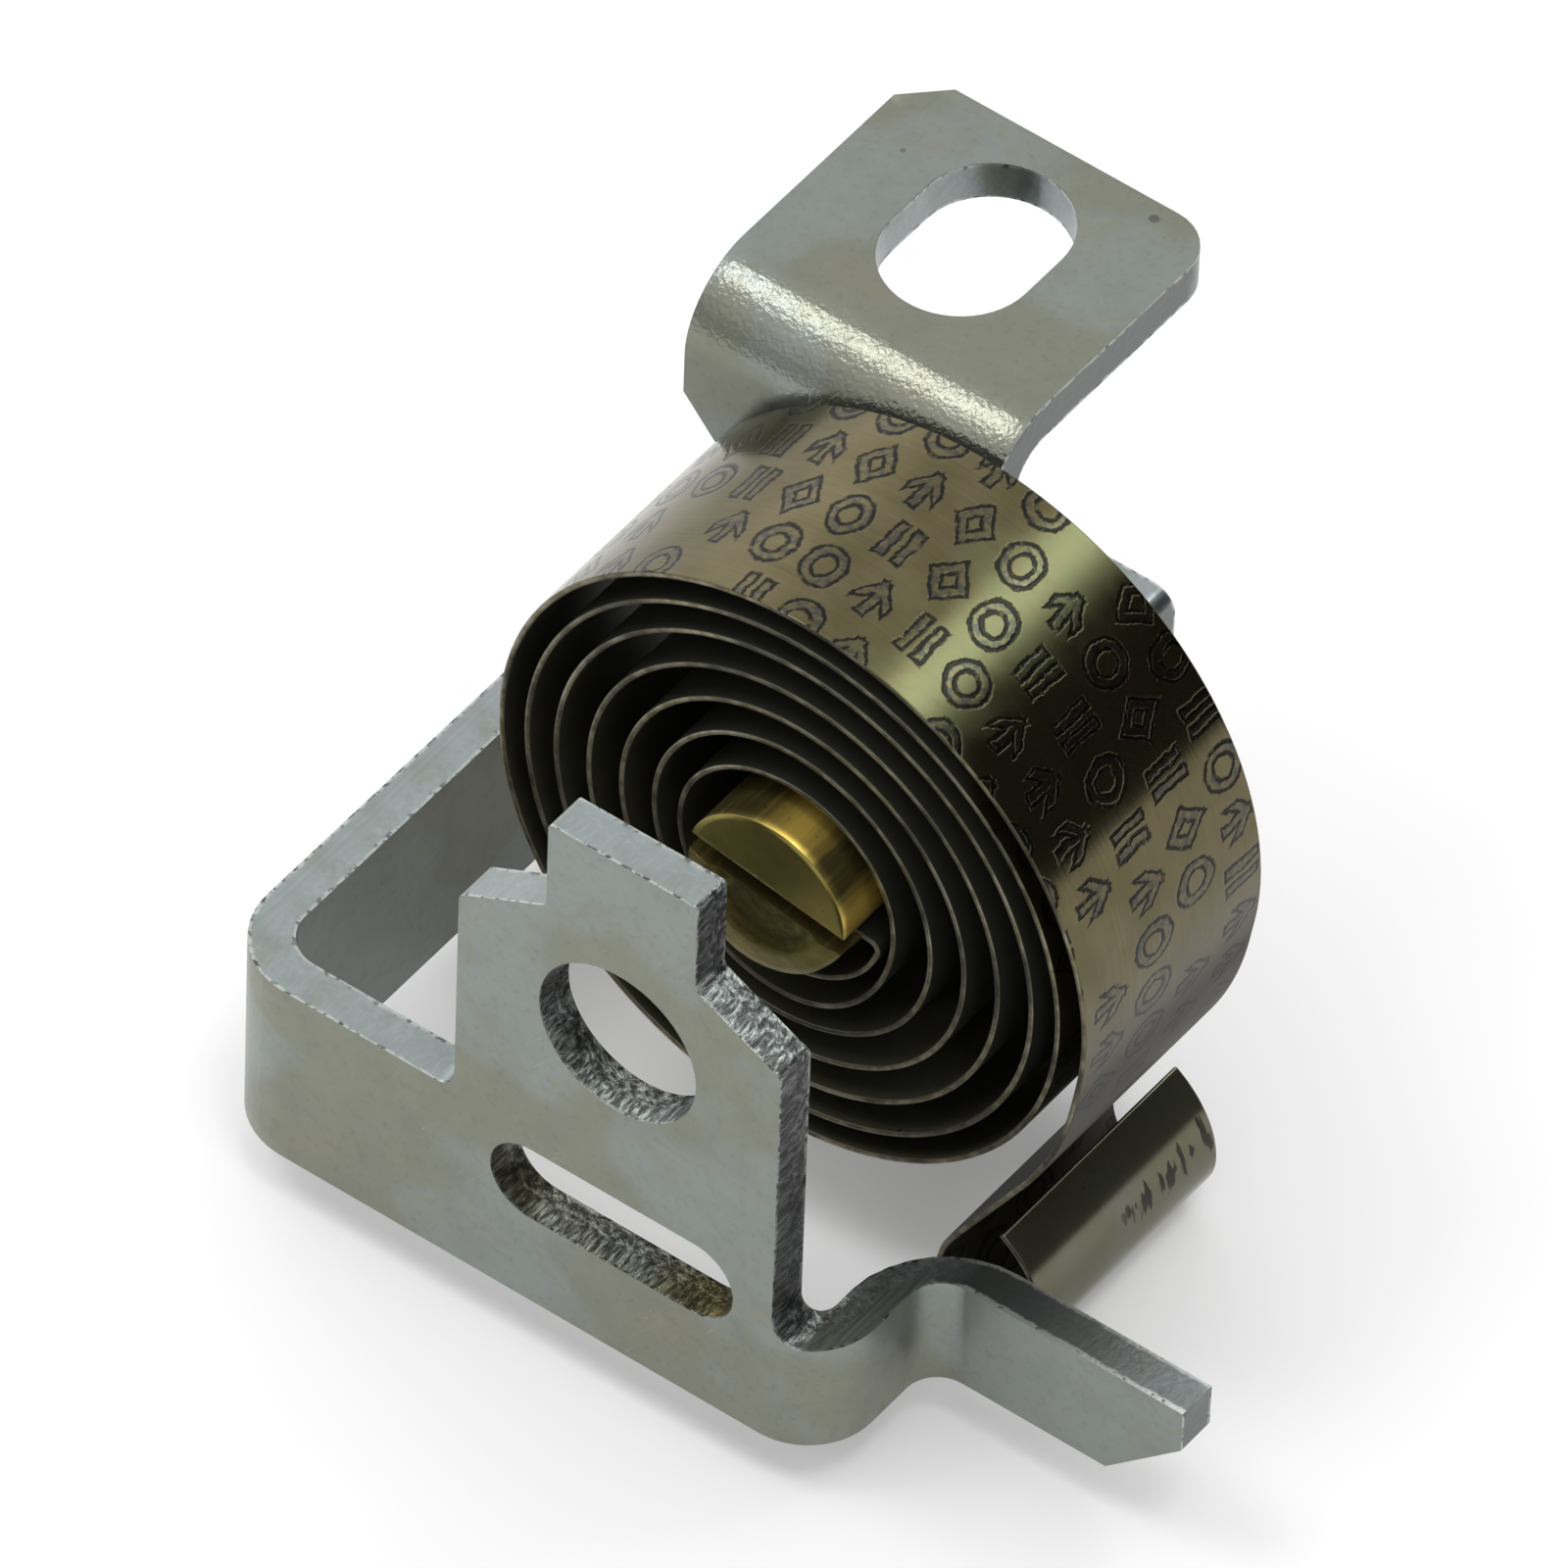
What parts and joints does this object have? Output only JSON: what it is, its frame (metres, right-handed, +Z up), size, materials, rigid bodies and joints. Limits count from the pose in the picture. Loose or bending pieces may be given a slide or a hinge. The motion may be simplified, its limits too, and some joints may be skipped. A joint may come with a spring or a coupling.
{
  "type": "bimetal choke coil spring",
  "caption": "Flat spiral of bimetal strip hooked on a slotted brass post in a folded sheet bracket; heat turns the rolled rod eye at its outer end to work a choke.",
  "frame": {"origin": "middle of the flange's bolt slot, on the flange's underside, which seats on the engine", "axes": "+Z up out of the seat, along the bolt; +Y to the rear, along the coil's axis from the front plate to the flange; +X right, along the front plate towards the tail"},
  "size_m": [0.047, 0.0429, 0.0381],
  "materials": {
    "zinc_plate": "zinc-plated, satin, lightly passivated",
    "brass": "turned, slightly dull",
    "bimetal": "rolled strip, satin, tan-olive with a dark inner side"
  },
  "bodies": {
    "root": {"bracket": "zinc_plate", "coil_post": "brass", "bimetal_coil": "bimetal"}
  },
  "joints": []
}
